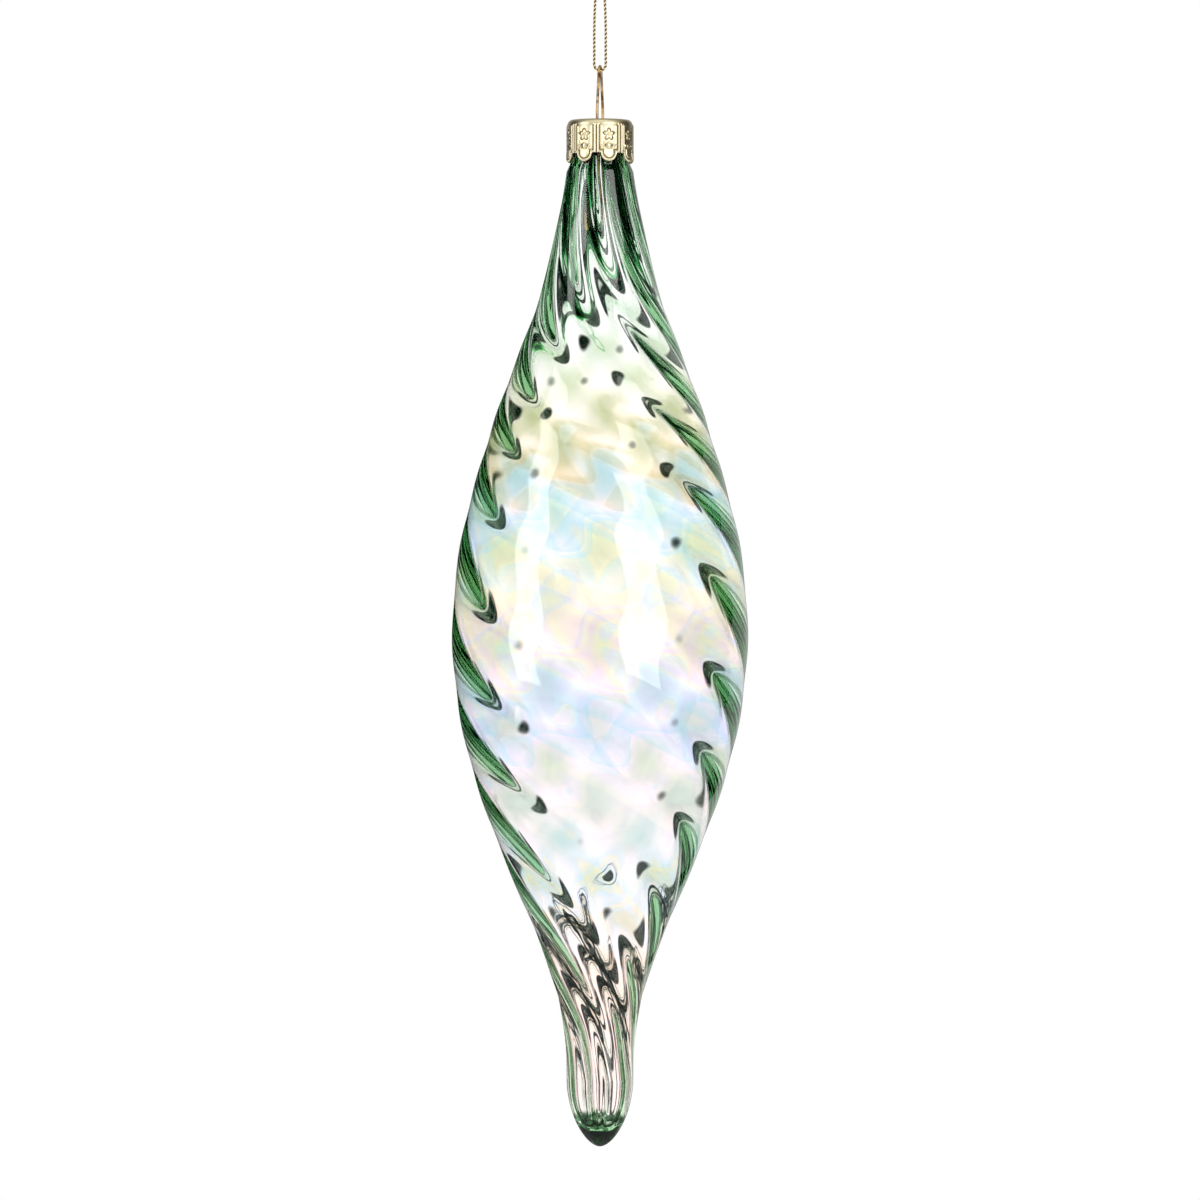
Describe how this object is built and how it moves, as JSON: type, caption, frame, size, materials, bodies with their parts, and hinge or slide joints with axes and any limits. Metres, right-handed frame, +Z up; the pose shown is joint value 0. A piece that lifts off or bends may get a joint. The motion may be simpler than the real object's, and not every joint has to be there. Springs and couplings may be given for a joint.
{
  "type": "glass spiral ornament",
  "caption": "Long hollow glass drop with spiral ribs in its wall, hung by a stamped metal cap, a sprung wire bail and a loop of metallic thread.",
  "frame": {"origin": "the hang point: the inside top of the thread loop, just under its knot", "axes": "+Z up along the hanging axis, X across the two strands of thread, Y across the eye of the bail"},
  "size_m": [0.0662, 0.0662, 0.2766],
  "materials": {
    "thread": "twisted gold metallic thread",
    "bail_wire": "drawn wire with an aged gold-brown finish",
    "cap_metal": "stamped sheet, bright pale gold",
    "glass": "clear blown glass, green at its thick edges, with a faint pearly iridescence"
  },
  "bodies": {
    "knot": {"cord_knot": "thread"},
    "thread": {"cord_loop": "thread"},
    "bail": {"bail": "bail_wire"},
    "cap": {"cap": "cap_metal"},
    "glass": {"glass_body": "glass"}
  },
  "joints": [
    {"name": "thread_twist", "type": "hinge", "parent": "knot", "child": "thread", "pos_m": [0, 0, 0], "axis": [0, 0, 1], "continuous": true},
    {"name": "bail_swing", "type": "hinge", "parent": "thread", "child": "bail", "pos_m": [0, 0, -0.02457], "axis": [1, 0, 0], "range_deg": [-80, 80]},
    {"name": "cap_lift", "type": "slide", "parent": "bail", "child": "cap", "axis": [0, 0, 1], "range_m": [0, 0.003]},
    {"name": "glass_pull", "type": "slide", "parent": "bail", "child": "glass", "axis": [0, 0, -1], "range_m": [0, 0.03]}
  ]
}
